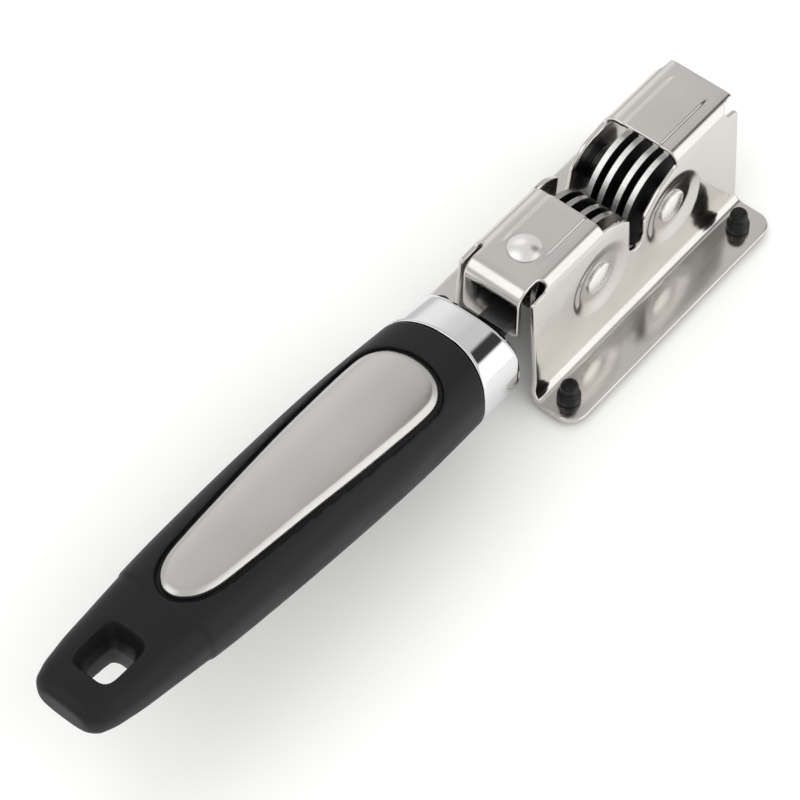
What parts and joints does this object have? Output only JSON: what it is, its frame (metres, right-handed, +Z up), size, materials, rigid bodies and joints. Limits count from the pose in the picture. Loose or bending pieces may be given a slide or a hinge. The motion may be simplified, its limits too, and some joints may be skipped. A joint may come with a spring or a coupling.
{
  "type": "roller knife sharpener",
  "caption": "Hand-held knife sharpener: folded steel head on rubber feet, two riveted axles with stacks of free-turning discs, long soft grip with a hang hole.",
  "frame": {"origin": "centre of the whole object's footprint, on the table under the rubber feet", "axes": "+X from the grip's tail to the sharpening head, along the middle plane; +Y to the left, along the axles; +Z up"},
  "size_m": [0.2085, 0.0472, 0.0367],
  "materials": {
    "head_steel": "polished stainless sheet with fine brushing",
    "plain_steel": "plain machined steel",
    "rivet_steel": "bright polished rivet heads",
    "collar_chrome": "mirror-bright plated sleeve",
    "grip_soft": "black soft-touch moulding",
    "inlay_satin": "satin plate with a bright bevel",
    "disc_smooth": "smooth ground hardened steel",
    "disc_knurled": "hardened steel with a fine cross-cut rim",
    "foot_rubber": "black rubber"
  },
  "bodies": {
    "root": {"frame": "head_steel", "tang": "plain_steel", "dome_rivet": "rivet_steel", "tang_pin": "plain_steel", "collar": "collar_chrome", "grip": "grip_soft", "inlay_plate": "inlay_satin", "front_axle": "rivet_steel", "front_washers": "plain_steel", "rear_axle": "rivet_steel", "rear_washers": "plain_steel", "foot_front_left": "foot_rubber", "foot_front_right": "foot_rubber", "foot_rear_left": "foot_rubber", "foot_rear_right": "foot_rubber"},
    "front_roller": {"front_hub": "plain_steel", "front_spacers": "plain_steel", "front_disc_1": "disc_smooth", "front_disc_2": "disc_smooth", "front_disc_3": "disc_smooth", "front_disc_4": "disc_smooth"},
    "rear_roller": {"rear_hub": "plain_steel", "rear_spacers": "plain_steel", "rear_disc_1": "disc_knurled", "rear_disc_2": "disc_knurled", "rear_disc_3": "disc_knurled", "rear_disc_4": "disc_knurled"}
  },
  "joints": [
    {"name": "front_roller_spin", "type": "hinge", "parent": "root", "child": "front_roller", "pos_m": [0.05465, 0, 0.0198], "axis": [0, 1, 0], "continuous": true},
    {"name": "rear_roller_spin", "type": "hinge", "parent": "root", "child": "rear_roller", "pos_m": [0.08085, 0, 0.0198], "axis": [0, 1, 0], "continuous": true}
  ]
}
